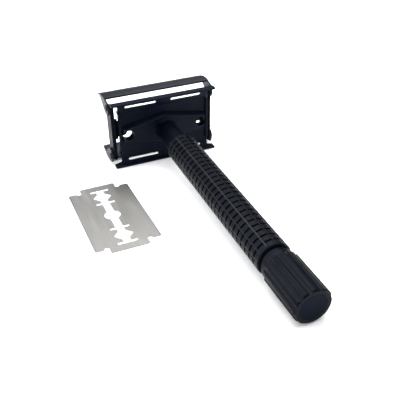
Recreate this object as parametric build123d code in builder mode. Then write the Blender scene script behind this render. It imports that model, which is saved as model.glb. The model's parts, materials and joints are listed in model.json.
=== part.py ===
"""Twist-to-open double edge safety razor lying on a table, with its blade beside it.

Every razor piece is drawn upright: handle axis on Z, head upwards, doors above z = 0,
rail lip at z = 0.  The pieces are then laid down together on the rail and the knob.
"""

import os
from math import atan2, cos, degrees, radians, sin

from build123d import *

os.makedirs("parts", exist_ok=True)

# ---- standard blade (mm) ----
BLADE_L = 43.0
BLADE_W = 22.0
BLADE_T = 0.1
BLADE_POS = (-31.9, -30.6)

# ---- guard plate ----
RAIL_HALF = BLADE_L / 2 - 0.6
RAIL_OUT = BLADE_W / 2 + 2.37
RAIL_IN = RAIL_OUT - 0.77
RAIL_H = 2.9
WEB_HALF = RAIL_HALF - 2.8
WEB_Z = RAIL_H - 0.6
WEB_T = 1.0
HOLE_X = WEB_HALF - 3.2
HOLE_R = 2.05
SLOT_X0 = 2.9
SLOT_X1 = WEB_HALF - 2.75
SLOT_Y0 = RAIL_IN - 2.2
SLOT_Y1 = RAIL_IN - 0.85
BOSS_Z = 0.2

# ---- handle ----
FIT = 0.05
SCREW_R = 1.2
ROD_R = SCREW_R + 0.5
STEM_R = SCREW_R + 1.0
TUBE_BORE = STEM_R + 0.4
NECK_R0 = STEM_R + 1.3
GRIP_R = 5.45
NECK_R1 = GRIP_R - 0.7
TUBE_R = GRIP_R - 0.95
SPIGOT_R = TUBE_R - 1.1
SPIGOT_LEN = 3.0
GRIP_TOP = 16.1
GRIP_LEN = 69.2
RIB_PITCH = 2.56
RIB_GAP = 0.75
RIB_DEPTH = 0.4
PAD_COLUMNS = 12
LAND_START = 25
BUSH_LEN = 6.0

# ---- knob and drive ----
KNOB_R = GRIP_R + 0.33
KNOB_LEN = 16.7
FLUTES = 12
FLUTE_R = 1.3
FLUTE_DEPTH = 0.45
COLLAR_R = GRIP_R - 0.25
COLLAR_LEN = 2.1
GAP_LEN = 1.3
GAP_R = GRIP_R - 0.9
KNOB_CHAMFER = 0.5
CAP_R = KNOB_R - 1.48
CAP_T = 1.0
CAP_STEM_R = ROD_R + 0.9
CAP_STEM_LEN = 5.0

# ---- lifted carriage and doors ----
TRAVEL = 3.6
PIVOT_Y = RAIL_IN - 2.3
PIVOT_Z = TRAVEL + 2.2
PIN_R = 0.7
TONGUE_T = 0.8
BAR_Z = WEB_Z + WEB_T + TRAVEL + TONGUE_T + 0.1
BAR_T = 1.5
BAR_TOP = BAR_Z + BAR_T
BED_HALF_L = BLADE_L / 4 - 0.15
BED_HALF_W = BLADE_W / 2 - 5.8
STUD_X = BED_HALF_L - 3.4
RIM_X0 = WEB_HALF + 1.0
RIM_Y = RAIL_IN - 1.1
RIM_H = 1.0
RIM_WALL = 0.4
RIM_POCKET = 0.6
BRACKET_X1 = RIM_X0 + 1.5
BRACKET_X0 = BRACKET_X1 - 0.9
BRACKET_Z0 = TRAVEL + 0.3
BRACKET_Y = PIVOT_Y - 2.3
TONGUE_END = HOLE_X - 1.3
TONGUE_W = 6.4
RIVET_X = HOLE_X + 1.5
RIVET_R = 0.7
EAR_X0 = BRACKET_X1 + 0.1
DOOR_HALF = EAR_X0 + 0.75
DOOR_T = 0.7
NEAR_EDGE = (RAIL_OUT - 0.02, PIVOT_Z + 2.1)
FAR_EDGE = (RAIL_OUT - 1.62, NEAR_EDGE[1] + RAIL_OUT - 4.17)
DOOR_BULGE = 0.7
DOOR_CORNER = 2.4
SHARP_CORNER = 0.6

GRIP_END = GRIP_TOP + GRIP_LEN
COLLAR_TOP = GRIP_END + GAP_LEN
KNOB_TOP = COLLAR_TOP + COLLAR_LEN
KNOB_END = KNOB_TOP + KNOB_LEN

# The razor rests on the rail lip and on the knob rim.
TILT = atan2(RAIL_OUT - KNOB_R, KNOB_END - KNOB_CHAMFER)
BASE_H = RAIL_OUT * cos(TILT)

pieces = []


def turned(name, profile):
    """Full revolve about Z of a closed (radius, height) profile."""
    with BuildPart() as body:
        with BuildSketch(Plane.XZ):
            with BuildLine():
                Polyline(*profile, close=True)
            make_face()
        revolve(axis=Axis.Z)
    body.part.label = name
    return body.part


def keep(piece, name):
    """Lay an upright piece down and add it to the set."""
    laid = piece.rotate(Axis.X, degrees(TILT) - 90).translate((0, 0, BASE_H))
    laid.label = name
    pieces.append(laid)


# ---- guard plate: bent sheet with a straight bar on each side ----
half_section = [
    (0, WEB_Z + WEB_T),
    (RAIL_IN - 4.5, WEB_Z + WEB_T),
    (RAIL_IN - 4.3, WEB_Z + WEB_T + 1.4),
    (RAIL_IN - 3.7, WEB_Z + WEB_T + 1.4),
    (RAIL_IN - 3.3, WEB_Z + WEB_T),
    (RAIL_IN - 2.1, WEB_Z + 0.45),
    (RAIL_IN - 0.7, WEB_Z + 0.1),
    (RAIL_IN, RAIL_H - 0.2),
    (RAIL_IN + 0.3, RAIL_H),
    (RAIL_OUT - 0.1, RAIL_H - 0.4),
    (RAIL_OUT, RAIL_H - 0.9),
    (RAIL_OUT, 0.25),
    (RAIL_OUT - 0.15, 0),
    (RAIL_IN, 0),
    (RAIL_IN - 0.1, WEB_Z - 1.1),
    (RAIL_IN - 1.0, WEB_Z - 0.9),
    (RAIL_IN - 2.2, WEB_Z - 0.6),
    (RAIL_IN - 3.5, WEB_Z),
    (0, WEB_Z),
]
full_section = half_section + [(-y, z) for y, z in reversed(half_section[1:-1])]
with BuildPart() as guard:
    with BuildSketch(Plane.YZ):
        with BuildLine():
            Polyline(*full_section, close=True)
        make_face()
    extrude(amount=RAIL_HALF, both=True)
    with BuildSketch(Plane.XY.offset(-1)):
        for side in (1, -1):
            with BuildLine():
                Polyline(
                    (side * WEB_HALF, 0.9 - RAIL_IN),
                    (side * (BRACKET_X1 - 0.1), -RAIL_IN),
                    (side * (RAIL_HALF + 1), -RAIL_IN),
                    (side * (RAIL_HALF + 1), RAIL_IN),
                    (side * (BRACKET_X1 - 0.1), RAIL_IN),
                    (side * WEB_HALF, RAIL_IN - 0.9),
                    close=True,
                )
            make_face()
    extrude(amount=RAIL_H + 4, mode=Mode.SUBTRACT)
    with BuildSketch(Plane.XY.offset(-1)):
        for side in (1, -1):
            for row in (1, -1):
                with Locations((side * (SLOT_X0 + SLOT_X1) / 2, row * (SLOT_Y0 + SLOT_Y1) / 2)):
                    RectangleRounded(SLOT_X1 - SLOT_X0, SLOT_Y1 - SLOT_Y0, 0.4)
        with Locations((HOLE_X, 0), (-HOLE_X, 0)):
            Circle(HOLE_R)
        Circle(STEM_R + 0.4)
    extrude(amount=RAIL_H + 4, mode=Mode.SUBTRACT)
    with BuildSketch(Plane.XY.offset(WEB_Z - 0.9)):
        with Locations((WEB_HALF - 0.3, 0), (-WEB_HALF + 0.3, 0)):
            Rectangle(0.6, 2 * RAIL_IN - 8.0)
    extrude(amount=0.9)
keep(guard.part, "guard_plate")

# ---- tapered boss under the plate ----
with BuildPart() as boss:
    for level, half_l, end_w, mid_w in ((BOSS_Z, WEB_HALF - 1.7, 2.4, 5.2), (WEB_Z, WEB_HALF - 0.9, 3.0, 6.4)):
        with BuildSketch(Plane.XY.offset(level)):
            with BuildLine():
                Polyline(
                    (-half_l, -end_w), (0, -mid_w), (half_l, -end_w),
                    (half_l, end_w), (0, mid_w), (-half_l, end_w),
                    close=True,
                )
            make_face()
    loft(ruled=True)
    with BuildSketch(Plane.XY.offset(BOSS_Z - 1)):
        with Locations((HOLE_X, 0), (-HOLE_X, 0)):
            Circle(HOLE_R)
        Circle(STEM_R + 0.4)
    extrude(amount=WEB_Z + 2, mode=Mode.SUBTRACT)
keep(boss.part, "guard_boss")

# ---- neck: tapered socket with the stem guide bore ----
neck_profile = [
    (STEM_R + FIT, BOSS_Z),
    (NECK_R0 + 0.9, BOSS_Z),
    (NECK_R0 + 0.3, -0.6),
    (NECK_R0, -2.0),
    (NECK_R0 + 0.25, -6.0),
    (NECK_R1, -GRIP_TOP + 0.4),
    (NECK_R1, -GRIP_TOP),
    (SPIGOT_R, -GRIP_TOP),
    (SPIGOT_R, -GRIP_TOP - SPIGOT_LEN),
    (STEM_R + FIT, -GRIP_TOP - SPIGOT_LEN),
]
keep(turned("neck", neck_profile), "neck_socket")

# ---- handle core tube, stepped over the neck spigot ----
tube_profile = [
    (SPIGOT_R, -GRIP_TOP),
    (TUBE_R, -GRIP_TOP),
    (TUBE_R, -GRIP_END),
    (TUBE_BORE, -GRIP_END),
    (TUBE_BORE, -GRIP_TOP - SPIGOT_LEN),
    (SPIGOT_R, -GRIP_TOP - SPIGOT_LEN),
]
keep(turned("tube", tube_profile), "handle_tube")

# ---- grip sleeve: rings of raised pads ----
rib_count = int((GRIP_LEN - 1.0) / RIB_PITCH)
first_gap = (GRIP_LEN - (rib_count - 1) * RIB_PITCH) / 2
comb = [(TUBE_R, -GRIP_TOP), (GRIP_R - 0.35, -GRIP_TOP), (GRIP_R, -GRIP_TOP - 0.35)]
for index in range(rib_count):
    centre = -GRIP_TOP - first_gap - index * RIB_PITCH
    comb += [
        (GRIP_R, centre + RIB_GAP / 2),
        (GRIP_R - RIB_DEPTH, centre + RIB_GAP / 2 - 0.12),
        (GRIP_R - RIB_DEPTH, centre - RIB_GAP / 2 + 0.12),
        (GRIP_R, centre - RIB_GAP / 2),
    ]
comb += [(GRIP_R, -GRIP_END + 0.35), (GRIP_R - 0.35, -GRIP_END), (TUBE_R, -GRIP_END)]
sleeve = turned("sleeve", comb)
with BuildPart() as grooves:
    with BuildSketch(Plane.XY.offset(-GRIP_TOP - 0.9)):
        with PolarLocations(GRIP_R + 0.1, PAD_COLUMNS, start_angle=LAND_START):
            Rectangle(0.7, 0.32)
    extrude(amount=-(GRIP_LEN - 1.8))
keep(sleeve - grooves.part, "grip_sleeve")

# ---- tail bush, thrust washer ----
bush_profile = [
    (ROD_R + FIT, -GRIP_END + BUSH_LEN),
    (TUBE_BORE, -GRIP_END + BUSH_LEN),
    (TUBE_BORE, -GRIP_END),
    (ROD_R + FIT, -GRIP_END),
]
keep(turned("bush", bush_profile), "tail_bush")
washer_profile = [
    (ROD_R + FIT, -GRIP_END),
    (GAP_R, -GRIP_END),
    (GAP_R, -COLLAR_TOP),
    (ROD_R + FIT, -COLLAR_TOP),
]
keep(turned("washer", washer_profile), "thrust_washer")

# ---- drive rod with its screw end, retaining ring, collar, fluted knob, cap ----
rod_profile = [
    (0, -TRAVEL - 0.9),
    (SCREW_R - 0.3, -TRAVEL - 0.9),
    (SCREW_R, -TRAVEL - 1.3),
    (SCREW_R, -GRIP_TOP - 5.4),
    (ROD_R, -GRIP_TOP - 5.9),
    (ROD_R, -KNOB_END + CAP_STEM_LEN),
    (0, -KNOB_END + CAP_STEM_LEN),
]
keep(turned("rod", rod_profile), "drive_rod")
ring_profile = [
    (ROD_R, -GRIP_END + BUSH_LEN + 0.9),
    (TUBE_BORE - 0.3, -GRIP_END + BUSH_LEN + 0.9),
    (TUBE_BORE - 0.3, -GRIP_END + BUSH_LEN),
    (ROD_R, -GRIP_END + BUSH_LEN),
]
keep(turned("ring", ring_profile), "retaining_ring")
collar_profile = [
    (ROD_R, -COLLAR_TOP),
    (COLLAR_R - 0.4, -COLLAR_TOP),
    (COLLAR_R, -COLLAR_TOP - 0.4),
    (COLLAR_R, -KNOB_TOP),
    (ROD_R, -KNOB_TOP),
]
keep(turned("collar", collar_profile), "knob_collar")
with BuildPart() as knob:
    with BuildSketch(Plane.XZ):
        with BuildLine():
            Polyline(
                (ROD_R, -KNOB_TOP),
                (KNOB_R - 0.45, -KNOB_TOP),
                (KNOB_R, -KNOB_TOP - 0.45),
                (KNOB_R, -KNOB_END + KNOB_CHAMFER),
                (KNOB_R - KNOB_CHAMFER, -KNOB_END),
                (CAP_R, -KNOB_END),
                (CAP_R, -KNOB_END + CAP_T),
                (CAP_STEM_R, -KNOB_END + CAP_T),
                (CAP_STEM_R, -KNOB_END + CAP_STEM_LEN),
                (ROD_R, -KNOB_END + CAP_STEM_LEN),
                close=True,
            )
        make_face()
    revolve(axis=Axis.Z)
    with BuildSketch(Plane.XY.offset(-KNOB_TOP + 1)):
        with PolarLocations(KNOB_R + FLUTE_R - FLUTE_DEPTH, FLUTES, start_angle=90 + 180 / FLUTES):
            Circle(FLUTE_R)
    extrude(amount=-KNOB_LEN - 2, mode=Mode.SUBTRACT)
keep(knob.part, "knob_body")
cap_profile = [
    (0, -KNOB_END + CAP_STEM_LEN - 0.1),
    (CAP_STEM_R, -KNOB_END + CAP_STEM_LEN - 0.1),
    (CAP_STEM_R, -KNOB_END + CAP_T),
    (CAP_R, -KNOB_END + CAP_T),
    (CAP_R, -KNOB_END),
    (0, -KNOB_END + 0.12),
]
keep(turned("cap", cap_profile), "knob_end_cap")

# ---- carriage: stem nut, blade bed, brackets, rivets ----
stem_profile = [
    (0, BAR_Z),
    (STEM_R, BAR_Z),
    (STEM_R, 2.1 - GRIP_TOP),
    (SCREW_R + FIT, 2.1 - GRIP_TOP),
    (SCREW_R + FIT, -1.0),
    (0, -0.4),
]
keep(turned("stem", stem_profile), "lift_stem")
with BuildPart() as bed:
    with BuildSketch(Plane.XY.offset(BAR_Z)):
        RectangleRounded(2 * BED_HALF_L, 2 * BED_HALF_W, 1.5)
        Rectangle(2 * BRACKET_X0, 2.6)
    extrude(amount=BAR_T)
    with BuildSketch(Plane.XY.offset(BAR_Z)):
        for side in (1, -1):
            with Locations((side * RIVET_X, 0)):
                Circle(RIVET_R)
            for row in (1, -1):
                with Locations((side * (STUD_X - 0.8), row * (BED_HALF_W - 1.9))):
                    SlotOverall(4.2, 1.8)
    extrude(amount=BAR_T, mode=Mode.SUBTRACT)
keep(bed.part, "blade_bed")
for side, name in ((-1, "left"), (1, "right")):
    with BuildPart() as stud:
        with BuildSketch(Plane.XY.offset(BAR_TOP)):
            with Locations((side * STUD_X, 0)):
                SlotOverall(3.4, 2.1)
        extrude(amount=0.45)
    keep(stud.part, "blade_stud_" + name)

bracket_outline = [
    (-BRACKET_Y, BRACKET_Z0),
    (BRACKET_Y, BRACKET_Z0),
    (PIVOT_Y + 0.2, PIVOT_Z - 1.4),
    (PIVOT_Y + 1.2, PIVOT_Z - 0.7),
    (PIVOT_Y + 1.4, PIVOT_Z),
    (PIVOT_Y + 1.1, PIVOT_Z + 0.9),
    (PIVOT_Y, PIVOT_Z + 1.4),
    (BRACKET_Y - 0.1, BAR_TOP - 0.7),
    (BRACKET_Y - 1.1, BAR_TOP),
    (-BRACKET_Y + 1.1, BAR_TOP),
    (-BRACKET_Y + 0.1, BAR_TOP - 0.7),
    (-PIVOT_Y, PIVOT_Z + 1.4),
    (-PIVOT_Y - 1.1, PIVOT_Z + 0.9),
    (-PIVOT_Y - 1.4, PIVOT_Z),
    (-PIVOT_Y - 1.2, PIVOT_Z - 0.7),
    (-PIVOT_Y - 0.2, PIVOT_Z - 1.4),
]
with BuildPart() as bracket:
    with BuildSketch(Plane.YZ.offset(BRACKET_X0)):
        with BuildLine():
            Polyline(*bracket_outline, close=True)
        make_face()
        with Locations((PIVOT_Y, PIVOT_Z), (-PIVOT_Y, PIVOT_Z)):
            Circle(PIN_R, mode=Mode.SUBTRACT)
    extrude(amount=BRACKET_X1 - BRACKET_X0)
    with BuildSketch(Plane.XY.offset(BAR_Z - TONGUE_T)):
        with Locations(((TONGUE_END + BRACKET_X1) / 2, 0)):
            RectangleRounded(BRACKET_X1 - TONGUE_END, TONGUE_W, 1.8)
        with Locations(((BRACKET_X1 + RIM_X0 - 1.7) / 2, 0)):
            Rectangle(BRACKET_X1 - RIM_X0 + 1.7, TONGUE_W + 2.0)
        with Locations((RIVET_X, 0)):
            Circle(RIVET_R, mode=Mode.SUBTRACT)
    extrude(amount=TONGUE_T)
    with BuildSketch(Plane.XY.offset(BRACKET_Z0)):
        with Locations(((RIM_X0 + BRACKET_X1) / 2, 0)):
            SlotOverall(2 * RIM_Y, BRACKET_X1 - RIM_X0, rotation=90)
    extrude(amount=RIM_H)
    with BuildSketch(Plane.XY.offset(BRACKET_Z0)):
        with Locations(((RIM_X0 + BRACKET_X1) / 2, 0)):
            SlotOverall(2 * RIM_Y - 2 * RIM_WALL, BRACKET_X1 - RIM_X0 - 2 * RIM_WALL, rotation=90)
    extrude(amount=RIM_POCKET, mode=Mode.SUBTRACT)
with BuildPart() as rivet:
    with BuildSketch(Plane.XY.offset(BAR_Z - TONGUE_T)):
        with Locations((RIVET_X, 0)):
            Circle(RIVET_R)
    extrude(amount=BAR_T + TONGUE_T)
    with BuildSketch(Plane.XY.offset(BAR_TOP)):
        with Locations((RIVET_X, 0)):
            Circle(RIVET_R + 0.4)
    extrude(amount=0.3)
keep(bracket.part, "end_bracket_right")
keep(bracket.part.mirror(Plane.YZ), "end_bracket_left")
keep(rivet.part, "bar_rivet_right")
keep(rivet.part.mirror(Plane.YZ), "bar_rivet_left")

# ---- hinge pins through the bracket and the door ears ----
with BuildPart() as pin:
    with BuildSketch(Plane.YZ.offset(BRACKET_X0)):
        with Locations((PIVOT_Y, PIVOT_Z)):
            Circle(PIN_R)
    extrude(amount=DOOR_HALF + 0.05 - BRACKET_X0)
    with BuildSketch(Plane.YZ.offset(DOOR_HALF + 0.05)):
        with Locations((PIVOT_Y, PIVOT_Z)):
            Circle(1.15)
    extrude(amount=0.25)
for side, name in ((1, "right"), (-1, "left")):
    turned_pin = pin.part if side == 1 else pin.part.mirror(Plane.YZ)
    keep(turned_pin, "lower_hinge_pin_" + name)
    keep(turned_pin.mirror(Plane.XZ), "upper_hinge_pin_" + name)

# ---- door: bowed shell with an ear at each end ----
chord_y = FAR_EDGE[0] - NEAR_EDGE[0]
chord_z = FAR_EDGE[1] - NEAR_EDGE[1]
chord = (chord_y**2 + chord_z**2) ** 0.5
out_y = chord_z / chord
out_z = -chord_y / chord
mid = ((NEAR_EDGE[0] + FAR_EDGE[0]) / 2, (NEAR_EDGE[1] + FAR_EDGE[1]) / 2)
bow = (mid[0] + out_y * DOOR_BULGE, mid[1] + out_z * DOOR_BULGE)
arc_r = chord**2 / (8 * DOOR_BULGE) + DOOR_BULGE / 2
arc_c = (bow[0] - out_y * arc_r, bow[1] - out_z * arc_r)


def inset(point, depth):
    """Move a point of the outer arc towards the arc centre."""
    share = depth / arc_r
    return (point[0] + (arc_c[0] - point[0]) * share, point[1] + (arc_c[1] - point[1]) * share)


with BuildPart() as door:
    with BuildSketch(Plane.YZ):
        with BuildLine():
            ThreePointArc(NEAR_EDGE, bow, FAR_EDGE)
            Line(FAR_EDGE, inset(FAR_EDGE, DOOR_T))
            ThreePointArc(inset(FAR_EDGE, DOOR_T), inset(bow, DOOR_T), inset(NEAR_EDGE, DOOR_T))
            Line(inset(NEAR_EDGE, DOOR_T), NEAR_EDGE)
        make_face()
    extrude(amount=DOOR_HALF, both=True)
    for side, radius in ((1, DOOR_CORNER), (-1, SHARP_CORNER)):
        corners = [
            edge
            for edge in door.edges()
            if abs(edge.length - DOOR_T) < 0.02
            and edge.center().Z > FAR_EDGE[1] - 1.5
            and side * edge.center().X > 0
        ]
        fillet(corners, radius)
    for side in (1, -1):
        with BuildSketch(Plane.YZ.offset(side * EAR_X0)):
            with BuildLine():
                Polyline(
                    inset(NEAR_EDGE, 0.2),
                    (RAIL_OUT - 0.9, PIVOT_Z - 1.2),
                    (PIVOT_Y + 0.6, PIVOT_Z - 1.8),
                    (PIVOT_Y - 1.2, PIVOT_Z - 2.1),
                    (PIVOT_Y - 2.6, PIVOT_Z - 1.1),
                    (PIVOT_Y - 3.1, PIVOT_Z + 1.4),
                    (FAR_EDGE[0] + 0.55, FAR_EDGE[1] - 2.9),
                    close=True,
                )
            make_face()
            with Locations((PIVOT_Y, PIVOT_Z)):
                Circle(PIN_R + FIT, mode=Mode.SUBTRACT)
        extrude(amount=side * (DOOR_HALF - EAR_X0))
keep(door.part, "lower_door")
keep(door.part.mirror(Plane.XZ), "upper_door")

# ---- the blade, flat on the table ----
WINDOW_Y = BLADE_L / 2 - 8.4
window = ((1.2, -2.45), (3.15, -0.2), (3.15, 0.2), (1.2, 2.45))
with BuildPart() as blade:
    with BuildSketch(Plane.XY):
        Rectangle(BLADE_W, BLADE_L - 5.0)
        Rectangle(BLADE_W - 9.2, BLADE_L)
        vertices_out = [v for v in vertices() if abs(v.Y) > BLADE_L / 2 - 0.1 or abs(v.X) > BLADE_W / 2 - 0.1]
        fillet(vertices_out, 0.6)
        for end in (1, -1):
            for side in (1, -1):
                with Locations((side * (BLADE_W / 2 - 3.8), end * (BLADE_L / 2 - 2.6))):
                    Circle(0.9, mode=Mode.SUBTRACT)
        Rectangle(2.5, BLADE_L - 6.6, mode=Mode.SUBTRACT)
        Circle(2.75, mode=Mode.SUBTRACT)
        for end in (1, -1):
            with Locations((0, end * BLADE_L / 5), (0, end * (BLADE_L / 2 - 3.9))):
                Rectangle(6.6, 1.15, mode=Mode.SUBTRACT)
            with BuildLine():
                Polyline(
                    *[(side * x, end * (WINDOW_Y + side * y)) for side in (1, -1) for x, y in window],
                    close=True,
                )
            make_face(mode=Mode.SUBTRACT)
    extrude(amount=BLADE_T)
blade_laid = blade.part.translate((BLADE_POS[0], BLADE_POS[1], 0))
blade_laid.label = "blade"
pieces.append(blade_laid)

# ---- common origin: middle of the footprint, on the table ----
boxes = [piece.bounding_box() for piece in pieces]
mid_x = (min(box.min.X for box in boxes) + max(box.max.X for box in boxes)) / 2
mid_y = (min(box.min.Y for box in boxes) + max(box.max.Y for box in boxes)) / 2
for piece in pieces:
    name = piece.label
    moved = piece.translate((-mid_x, -mid_y, 0))
    moved.label = name
    export_step(moved, "parts/" + name + ".step")
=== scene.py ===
"""Looks of a black twist-to-open safety razor and its blade: materials, fine detail, light, camera."""

import json
import math

import bmesh
import bpy
from mathutils import Matrix, Vector


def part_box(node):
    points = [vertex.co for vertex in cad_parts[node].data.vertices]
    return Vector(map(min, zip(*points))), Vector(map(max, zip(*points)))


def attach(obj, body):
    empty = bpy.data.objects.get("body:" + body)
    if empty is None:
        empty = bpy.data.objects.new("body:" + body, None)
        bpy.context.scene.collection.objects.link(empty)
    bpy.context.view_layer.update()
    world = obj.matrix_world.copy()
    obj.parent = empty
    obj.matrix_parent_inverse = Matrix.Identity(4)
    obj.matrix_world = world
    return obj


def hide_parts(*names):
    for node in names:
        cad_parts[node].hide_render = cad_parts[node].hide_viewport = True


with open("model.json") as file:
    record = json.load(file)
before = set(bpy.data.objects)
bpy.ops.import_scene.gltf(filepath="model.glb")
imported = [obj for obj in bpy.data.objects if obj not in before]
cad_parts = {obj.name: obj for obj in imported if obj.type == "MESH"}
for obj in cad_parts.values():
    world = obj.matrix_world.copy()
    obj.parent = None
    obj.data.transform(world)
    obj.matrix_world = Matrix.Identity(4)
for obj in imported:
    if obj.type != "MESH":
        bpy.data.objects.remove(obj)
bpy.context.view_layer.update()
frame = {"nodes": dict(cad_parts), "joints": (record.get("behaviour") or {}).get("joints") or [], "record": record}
nodes = frame["nodes"]

# ---- places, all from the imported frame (metres) ----
joints = {joint["name"]: joint for joint in frame["joints"]}
AXIS = Vector(joints["knob_spin"]["axis"]).normalized()
GRIP_TAIL = Vector(joints["knob_spin"]["pos_m"])
SIDE = Vector((1, 0, 0))
UP = SIDE.cross(AXIS)
MM = 0.001
SLOTS = {part["node"]: part["material_slot"] for part in frame["record"]["subparts"]}


def along(node):
    """Lowest and highest place of a node along the handle axis, from the grip's tail."""
    heights = [(vertex.co - GRIP_TAIL).dot(AXIS) for vertex in nodes[node].data.vertices]
    return min(heights), max(heights)


def widest(node):
    """Largest distance of a node from the handle axis."""
    best = 0.0
    for vertex in nodes[node].data.vertices:
        offset = vertex.co - GRIP_TAIL
        best = max(best, (offset - AXIS * offset.dot(AXIS)).length)
    return best


# ---- node helpers ----
def new_material(name):
    """A material with its node tree and its Principled shader."""
    material = bpy.data.materials.new(name)
    material.use_nodes = True
    tree = material.node_tree
    shader = tree.nodes["Principled BSDF"]
    return material, tree, shader


def add(tree, kind, **values):
    """A new node of this kind, with these properties set."""
    node = tree.nodes.new(kind)
    for key, value in values.items():
        setattr(node, key, value)
    return node


def noise(tree, vector, scale, detail=3.0, rough=0.5):
    node = add(tree, "ShaderNodeTexNoise")
    node.inputs["Scale"].default_value = scale
    node.inputs["Detail"].default_value = detail
    node.inputs["Roughness"].default_value = rough
    tree.links.new(vector, node.inputs["Vector"])
    return node.outputs["Fac"]


def remap(tree, value, low, high, out_low, out_high):
    node = add(tree, "ShaderNodeMapRange")
    limits = {"From Min": low, "From Max": high, "To Min": out_low, "To Max": out_high}
    for socket, number in limits.items():
        node.inputs[socket].default_value = number
    tree.links.new(value, node.inputs["Value"])
    return node.outputs["Result"]


def blend_colours(tree, factor, first, second):
    node = add(tree, "ShaderNodeMix", data_type="RGBA")
    tree.links.new(factor, node.inputs["Factor"])
    for socket, colour in ((node.inputs["A"], first), (node.inputs["B"], second)):
        if isinstance(colour, tuple):
            socket.default_value = (*colour, 1)
        else:
            tree.links.new(colour, socket)
    return node.outputs["Result"]


def maths(tree, operation, first, second=0.0):
    node = add(tree, "ShaderNodeMath", operation=operation)
    for socket, value in zip(node.inputs, (first, second)):
        if isinstance(value, (int, float)):
            socket.default_value = value
        else:
            tree.links.new(value, socket)
    return node.outputs["Value"]


def bump(tree, height, strength, distance, shader):
    node = add(tree, "ShaderNodeBump")
    node.inputs["Strength"].default_value = strength
    node.inputs["Distance"].default_value = distance
    tree.links.new(height, node.inputs["Height"])
    tree.links.new(node.outputs["Normal"], shader.inputs["Normal"])


def stretched(tree, scales, turn=(0, 0, 0)):
    """Object coordinates scaled by axis, for grain that runs one way."""
    place = add(tree, "ShaderNodeTexCoord")
    mapping = add(tree, "ShaderNodeMapping")
    mapping.inputs["Scale"].default_value = scales
    mapping.inputs["Rotation"].default_value = turn
    tree.links.new(place.outputs["Object"], mapping.inputs["Vector"])
    return mapping.outputs["Vector"]


# ---- materials ----
# noise fields: scale, detail, roughness of the noise
CLOUDS, CLOUD_RANGE = (90, 4, 0.6), (0.35, 0.68)
SPECKS, SPECK_RANGE = (2600, 2, 0.7), (0.66, 0.8)
SMEARS, SMEAR_RANGE = (260, 5, 0.65), (0.3, 0.75)
PEEL = (3, 0.6)
SMEAR_SHINIER, SMEAR_DULLER = 0.06, 0.1
COAT_TINT = (0.8, 0.88, 1.0, 1)
RUBBED_TONE = (0.03, 0.031, 0.034)
# relief: strength, height
PEEL_RELIEF = (0.1, 0.03 * MM)
LATHE_RELIEF = (0.2, 0.02 * MM)
BRUSHED_RELIEF = (0.08, 0.02 * MM)


def black_coat(name, deep, light, rough, grain, wear, shine):
    """Satin black coating: cloudy tone, fine orange peel, rubbed specks where it is handled."""
    material, tree, shader = new_material(name)
    place = stretched(tree, (1, 1, 1))
    clouds = remap(tree, noise(tree, place, *CLOUDS), *CLOUD_RANGE, 0, 1)
    specks = remap(tree, noise(tree, place, *SPECKS), *SPECK_RANGE, 0, wear)
    tone = blend_colours(tree, clouds, deep, light)
    rubbed = blend_colours(tree, specks, tone, RUBBED_TONE)
    tree.links.new(rubbed, shader.inputs["Base Color"])
    smears = noise(tree, place, *SMEARS)
    roughness = remap(tree, smears, *SMEAR_RANGE, rough - SMEAR_SHINIER, rough + SMEAR_DULLER)
    tree.links.new(roughness, shader.inputs["Roughness"])
    shader.inputs["Specular IOR Level"].default_value = shine
    shader.inputs["Specular Tint"].default_value = COAT_TINT
    bump(tree, noise(tree, place, grain, *PEEL), *PEEL_RELIEF, shader)
    return material


LATHE_STRETCH = (20, 5200, 20)
LATHE_NOISE = (1.0, 2, 0.5)
LATHE_TONES = ((0.3, 0.3, 0.31), (0.46, 0.46, 0.47))
LATHE_ROUGHNESS = (0.3, 0.7, 0.26, 0.42)


def turned_steel(name):
    """Bright steel with fine lathe rings round the handle axis."""
    material, tree, shader = new_material(name)
    tilt = math.asin(AXIS.z)
    rings = noise(tree, stretched(tree, LATHE_STRETCH, (-tilt, 0, 0)), *LATHE_NOISE)
    tree.links.new(blend_colours(tree, rings, *LATHE_TONES), shader.inputs["Base Color"])
    tree.links.new(remap(tree, rings, *LATHE_ROUGHNESS), shader.inputs["Roughness"])
    shader.inputs["Metallic"].default_value = 1.0
    bump(tree, rings, *LATHE_RELIEF, shader)
    return material


# the blade: its brushing, haze and tones, and how far its ground bands and keen lines reach in
BRUSHED_STRETCH = (2600, 45, 1)
BRUSHED_NOISE = (1.0, 3, 0.6)
BRUSHED_RANGE = (0.25, 0.75)
BRUSHED_ROUGHNESS = (0.2, 0.8, 0.3, 0.44)
HAZE = (70, 4, 0.55)
HAZE_RANGE, HAZE_SHARE = (0.35, 0.7), 0.35
BRUSHED_TONES = ((0.37, 0.36, 0.335), (0.46, 0.447, 0.42))
HAZY_TONE = (0.32, 0.33, 0.34)
GROUND_TONE = (0.38, 0.38, 0.375)
KEEN_TONE = (0.3, 0.3, 0.3)
GROUND_WIDTH = (1.15 * MM, 1.05 * MM)
KEEN_WIDTH = (0.34 * MM, 0.28 * MM)


def edge_band(tree, across, half_width, widths):
    """Mask that turns on between the two widths in from an edge."""
    return remap(tree, across, half_width - widths[0], half_width - widths[1], 0, 1)


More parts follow.
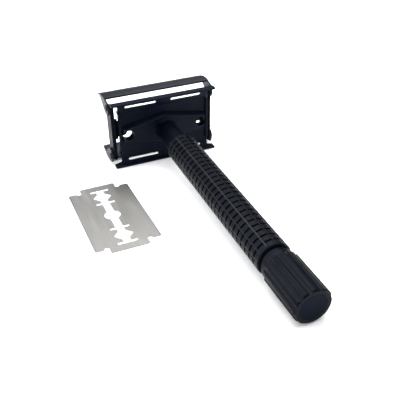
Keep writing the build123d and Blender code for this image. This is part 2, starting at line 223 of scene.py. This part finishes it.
def blade_steel(name):
    """Rolled blade steel, brushed along its length, with a ground band and a keen line at each edge."""
    material, tree, shader = new_material(name)
    low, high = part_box("blade")
    middle = (low.x + high.x) / 2
    half_width = (high.x - low.x) / 2
    place = stretched(tree, (1, 1, 1))
    split = add(tree, "ShaderNodeSeparateXYZ")
    tree.links.new(place, split.inputs["Vector"])
    across = maths(tree, "ABSOLUTE", maths(tree, "SUBTRACT", split.outputs["X"], middle))
    ground = edge_band(tree, across, half_width, GROUND_WIDTH)
    keen = edge_band(tree, across, half_width, KEEN_WIDTH)
    brushed = noise(tree, stretched(tree, BRUSHED_STRETCH), *BRUSHED_NOISE)
    hazy = noise(tree, place, *HAZE)
    tone = blend_colours(tree, remap(tree, brushed, *BRUSHED_RANGE, 0, 1), *BRUSHED_TONES)
    tone = blend_colours(tree, remap(tree, hazy, *HAZE_RANGE, 0, HAZE_SHARE), tone, HAZY_TONE)
    tone = blend_colours(tree, ground, tone, GROUND_TONE)
    tone = blend_colours(tree, keen, tone, KEEN_TONE)
    tree.links.new(tone, shader.inputs["Base Color"])
    tree.links.new(remap(tree, brushed, *BRUSHED_ROUGHNESS), shader.inputs["Roughness"])
    shader.inputs["Metallic"].default_value = 1.0
    bump(tree, brushed, *BRUSHED_RELIEF, shader)
    return material


# name: deep tone, light tone, roughness, grain of the orange peel, share of rubbed specks, shine
COATS = {
    "head_black": ((0.0009, 0.0024, 0.0082), (0.003, 0.0054, 0.0132), 0.42, 5200, 0.15, 0.09),
    "neck_black": ((0.0003, 0.0008, 0.003), (0.001, 0.0018, 0.0055), 0.42, 5200, 0.1, 0.06),
    "door_black": ((0.006, 0.007, 0.01), (0.011, 0.0125, 0.016), 0.42, 5200, 0.3, 0.2),
    "grip_black": ((0.0008, 0.0013, 0.0036), (0.0028, 0.0036, 0.0066), 0.36, 4200, 0.25, 0.068),
    # lighter lands between the pad columns: partly wear, partly a painted highlight where the ridges catch the
    # light
    "grip_land_wear_and_highlight": ((0.0018, 0.0026, 0.005), (0.0052, 0.006, 0.0088), 0.34, 4200, 0.5, 0.1),
    # painted reflection: a bright line painted along one land of the grip
    "grip_painted_highlight_line": ((0.007, 0.008, 0.011), (0.015, 0.0165, 0.02), 0.34, 4200, 0.5, 0.16),
    "knob_black": ((0.0013, 0.002, 0.0045), (0.003, 0.004, 0.0072), 0.34, 5600, 0.2, 0.06),
    "cap_black": ((0.001, 0.003, 0.0085), (0.0022, 0.0055, 0.0135), 0.4, 5600, 0.1, 0.03),
    # lighter edges: partly rubbed wear, partly a painted highlight along the bevels
    "edge_wear_and_highlight": ((0.008, 0.009, 0.012), (0.02, 0.021, 0.025), 0.34, 4200, 0.8, 0.3),
    # painted highlight: the boss's bevelled edges painted light where they lie in shade
    "boss_painted_highlight": ((0.022, 0.025, 0.033), (0.04, 0.044, 0.054), 0.34, 4200, 0.6, 0.3),
}
coats = {name: black_coat(name, *values) for name, values in COATS.items()}
STEEL = turned_steel("turned_steel")
BLADE = blade_steel("blade_steel")

LOOKS = {
    "grip_sleeve": coats["grip_black"],
    "handle_tube": coats["grip_black"],
    "neck_socket": coats["neck_black"],
    "upper_door": coats["door_black"],
    "lower_door": coats["door_black"],
    "knob_body": coats["knob_black"],
    "knob_collar": coats["knob_black"],
    "knob_end_cap": coats["cap_black"],
    "thrust_washer": coats["knob_black"],
    "drive_rod": STEEL,
    "retaining_ring": STEEL,
    "lift_stem": STEEL,
    "tail_bush": STEEL,
    "blade": BLADE,
}


def look_of(node):
    """Material of a node: its own, or the coat of the head."""
    return LOOKS.get(node, coats["head_black"])


for name, node in nodes.items():
    for slot in node.material_slots:
        slot.material = look_of(name)


# ---- grip: rings of raised pads, with a narrow land between the columns, painted lighter as wear and highlight ----
PAD_COLUMNS = 12
LAND_START = 25  # degrees, from the side of the handle to the first land
# the land that carries the painted reflection line
HIGHLIGHT_LAND = 3
PAD_PITCH = 2.56 * MM
PAD_MARGIN = 1.0 * MM
RUN_OUT = 1.4 * MM
GROOVE_DEPTH = 0.4 * MM
LAND_DROP = 0.13 * MM
CHAMFER = 0.35 * MM
GRIP_SHARP = 24  # degrees
# place across a groove, share of the groove's depth there, and how far the pad's edge is eased (mm)
ACROSS_GROOVE = (
    (-0.44, 0.0, 0.0), (-0.33, 0.0, 0.06), (-0.25, 1.0, 0.0),
    (0.25, 1.0, 0.0), (0.33, 0.0, 0.06), (0.44, 0.0, 0.0),
)
# place across a column as a share of it, and how much of the pad there is
ACROSS_COLUMN = (
    (0.0, 0.0), (0.065, 0.0), (0.1, 0.7), (0.15, 1.0), (0.3, 1.0), (0.5, 1.0),
    (0.7, 1.0), (0.85, 1.0), (0.9, 0.7), (0.935, 0.0),
)


def smooth_but_for(mesh, degrees_apart):
    """Smooth shading, but sharp where faces meet at more than this angle."""
    mesh.shade_smooth()
    mesh.set_sharp_from_angle(angle=math.radians(degrees_apart))


def new_piece(name, mesh, body, slot, materials, *replaced):
    """A visible piece that rides on a body and is shown in place of these CAD nodes."""
    piece = bpy.data.objects.new(name, mesh)
    bpy.context.scene.collection.objects.link(piece)
    for material in materials:
        mesh.materials.append(material)
    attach(piece, body)
    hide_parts(*replaced)
    return piece


def grip_rings(length, outer, inner):
    """Rings from tail to head: place, share of the groove's depth, and how far the edge is eased.

    A ring whose share is None is plain, and its last number is its radius.
    """
    rows = int((length - PAD_MARGIN) / PAD_PITCH)
    first = (length - (rows - 1) * PAD_PITCH) / 2
    tail_end = [(0, None, inner), (0, None, outer - CHAMFER), (CHAMFER, None, outer)]
    rings = tail_end + [(first - RUN_OUT, 0.0, 0.0)]
    for row in range(rows):
        for offset, share, eased in ACROSS_GROOVE:
            rings.append((first + row * PAD_PITCH + offset * MM, share, eased * MM))
    rings += [(length - first + RUN_OUT, 0.0, 0.0), (length - CHAMFER, None, outer)]
    return rings + [(length, None, outer - CHAMFER), (length, None, inner)]


def grip_loop(mesh, centre, share, extra, outer):
    """One ring of corners round the handle axis."""
    loop = []
    for column in range(PAD_COLUMNS):
        for start, pad in ACROSS_COLUMN:
            radius = extra
            if share is not None:
                radius = outer - LAND_DROP * (1 - pad) - (extra + GROOVE_DEPTH * share) * pad
            angle = 2 * math.pi * (column + start) / PAD_COLUMNS + math.radians(LAND_START)
            loop.append(mesh.verts.new(centre + (SIDE * math.cos(angle) + UP * math.sin(angle)) * radius))
    return loop


def grip_finish(corner, padded):
    """Material of a face by its place round the grip: pad 0, land 1 (painted lighter: wear and painted highlight),
    the land with the painted reflection line 2.
    """
    column, place = divmod(corner, len(ACROSS_COLUMN))
    if not padded or place not in (0, len(ACROSS_COLUMN) - 1):
        return 0
    land = (column + (place > 0)) % PAD_COLUMNS
    return 2 if land == HIGHLIGHT_LAND else 1


def make_grip():
    """The grip sleeve again, with crisp pads, as one closed mesh."""
    tail, head = along("grip_sleeve")
    outer = widest("grip_sleeve")
    rings = grip_rings(head - tail, outer, widest("handle_tube"))
    mesh = bmesh.new()
    loops = []
    for place, share, extra in rings:
        loops.append(grip_loop(mesh, GRIP_TAIL + AXIS * (tail + place), share, extra, outer))
    for index, loop in enumerate(loops):
        following = (index + 1) % len(loops)
        above = loops[following]
        padded = rings[index][1] is not None and rings[following][1] is not None
        for corner in range(len(loop)):
            after = (corner + 1) % len(loop)
            face = mesh.faces.new((loop[corner], loop[after], above[after], above[corner]))
            face.material_index = grip_finish(corner, padded)
    bmesh.ops.recalc_face_normals(mesh, faces=mesh.faces)
    data = bpy.data.meshes.new("grip_pads")
    mesh.to_mesh(data)
    mesh.free()
    smooth_but_for(data, GRIP_SHARP)
    finishes = (coats["grip_black"], coats["grip_land_wear_and_highlight"], coats["grip_painted_highlight_line"])
    new_piece("grip_pads", data, "handle", "black_grip", finishes, "grip_sleeve")


# ---- softened edges: pressed and turned parts have no knife edges ----
MERGE = 0.002 * MM
FLAT = math.radians(0.6)
EDGE_SHARP = 30  # degrees
EDGE_SEGMENTS = 2
# body, width of its softened edges, their finish (lighter edges: rubbed wear and painted highlight), nodes
EDGES = (
    ("handle", 0.12 * MM, "edge_wear_and_highlight", ("guard_plate",)),
    ("handle", 0.12 * MM, "neck_black", ("neck_socket",)),
    ("handle", 0.35 * MM, "boss_painted_highlight", ("guard_boss",)),
    ("carriage", 0.09 * MM, "edge_wear_and_highlight", ("end_bracket_left", "end_bracket_right")),
    ("carriage", 0.09 * MM, "edge_wear_and_highlight", ("blade_bed", "blade_stud_left", "blade_stud_right")),
    ("drive", 0.12 * MM, "edge_wear_and_highlight", ("knob_body",)),
    ("drive", 0.12 * MM, "cap_black", ("knob_collar", "knob_end_cap")),
    ("lower_door", 0.12 * MM, "edge_wear_and_highlight", ("lower_door",)),
    ("upper_door", 0.12 * MM, "edge_wear_and_highlight", ("upper_door",)),
)


def soften(node, body, width, rim_wear_and_sheen):
    """A copy of a CAD node with flat faces joined up and its edges bevelled."""
    source = bmesh.new()
    source.from_mesh(nodes[node].data)
    bmesh.ops.remove_doubles(source, verts=source.verts, dist=MERGE)
    bmesh.ops.dissolve_limit(source, angle_limit=FLAT, verts=source.verts, edges=source.edges)
    data = bpy.data.meshes.new(node + "_soft")
    source.to_mesh(data)
    source.free()
    smooth_but_for(data, EDGE_SHARP)
    piece = new_piece(node + "_soft", data, body, SLOTS[node], (look_of(node), coats[rim_wear_and_sheen]), node)
    edge = piece.modifiers.new("edge", "BEVEL")
    edge.width = width
    edge.segments = EDGE_SEGMENTS
    edge.limit_method = "ANGLE"
    edge.angle_limit = math.radians(EDGE_SHARP)
    edge.harden_normals = True
    # the bevel faces take the second, lighter material: wear and a painted highlight along the edges
    edge.material = 1


make_grip()
for body, width, rim_wear_and_sheen, softened in EDGES:
    for node in softened:
        soften(node, body, width, rim_wear_and_sheen)


# ---- floor, light, camera ----
FLOOR_HALF = 3.0
FLOOR_DROP = 0.1 * MM
FLOOR_TONE = (0.93, 0.93, 0.93, 1)
FLOOR_ROUGHNESS = 0.8
WHITE = (1, 1, 1, 1)
FLOOR_GLOW = 0.16
SKY_TONE = (0.9, 0.93, 1.0, 1)
SKY_STRENGTH = 0.3
OBJECT_MIDDLE = (0, 0, 0.01)
# name, place, target, size, power
LAMPS = (
    ("top_soft", (0.0, 0.15, 0.7), (0, 0, 0), (0.9, 0.9), 11.5),
    ("back_left", (-0.55, 0.35, 0.35), OBJECT_MIDDLE, (0.5, 0.5), 3.0),
    ("right_strip", (0.6, -0.1, 0.3), OBJECT_MIDDLE, (0.2, 0.6), 2.0),
)
CAMERA_PLACE = (-0.057745, -0.154879, 0.10614)
CAMERA_AZIMUTH, CAMERA_ELEVATION, CAMERA_ROLL = (math.radians(angle) for angle in (22.284, 30.948, -2.189))
CAMERA_LENS = 52.705
SENSOR_WIDTH = 36
CLIP_START = 0.005


def make_floor():
    """A plain pale floor just under the razor, with a faint glow that lifts its shadows."""
    mesh = bpy.data.meshes.new("floor")
    turns = ((-1, -1), (1, -1), (1, 1), (-1, 1))
    corners = [(x * FLOOR_HALF, y * FLOOR_HALF, -FLOOR_DROP) for x, y in turns]
    mesh.from_pydata(corners, [], [(0, 1, 2, 3)])
    floor = bpy.data.objects.new("floor", mesh)
    bpy.context.scene.collection.objects.link(floor)
    material, _, shader = new_material("floor_white")
    shader.inputs["Base Color"].default_value = FLOOR_TONE
    shader.inputs["Roughness"].default_value = FLOOR_ROUGHNESS
    shader.inputs["Emission Color"].default_value = WHITE
    shader.inputs["Emission Strength"].default_value = FLOOR_GLOW
    mesh.materials.append(material)


def area_light(name, place, target, size, power):
    light = bpy.data.lights.new(name, "AREA")
    light.shape = "RECTANGLE"
    light.size, light.size_y = size
    light.energy = power
    lamp = bpy.data.objects.new(name, light)
    lamp.location = place
    lamp.rotation_euler = (Vector(target) - Vector(place)).to_track_quat("-Z", "Y").to_euler()
    bpy.context.scene.collection.objects.link(lamp)


def make_light():
    world = bpy.data.worlds.new("studio")
    world.use_nodes = True
    background = world.node_tree.nodes["Background"]
    background.inputs["Color"].default_value = SKY_TONE
    background.inputs["Strength"].default_value = SKY_STRENGTH
    bpy.context.scene.world = world
    for lamp in LAMPS:
        area_light(*lamp)


def make_camera():
    """The photograph's view: an ordinary lens close in front, to the left and above."""
    data = bpy.data.cameras.new("camera")
    data.sensor_width = SENSOR_WIDTH
    data.lens = CAMERA_LENS
    data.clip_start = CLIP_START
    camera = bpy.data.objects.new("camera", data)
    heading = Matrix.Rotation(-CAMERA_AZIMUTH, 4, "Z")
    pitch = Matrix.Rotation(math.pi / 2 - CAMERA_ELEVATION, 4, "X")
    roll = Matrix.Rotation(CAMERA_ROLL, 4, "Z")
    camera.matrix_world = Matrix.Translation(CAMERA_PLACE) @ heading @ pitch @ roll
    bpy.context.scene.collection.objects.link(camera)
    bpy.context.scene.camera = camera


make_floor()
make_light()
make_camera()
bpy.context.scene.view_settings.view_transform = "Standard"
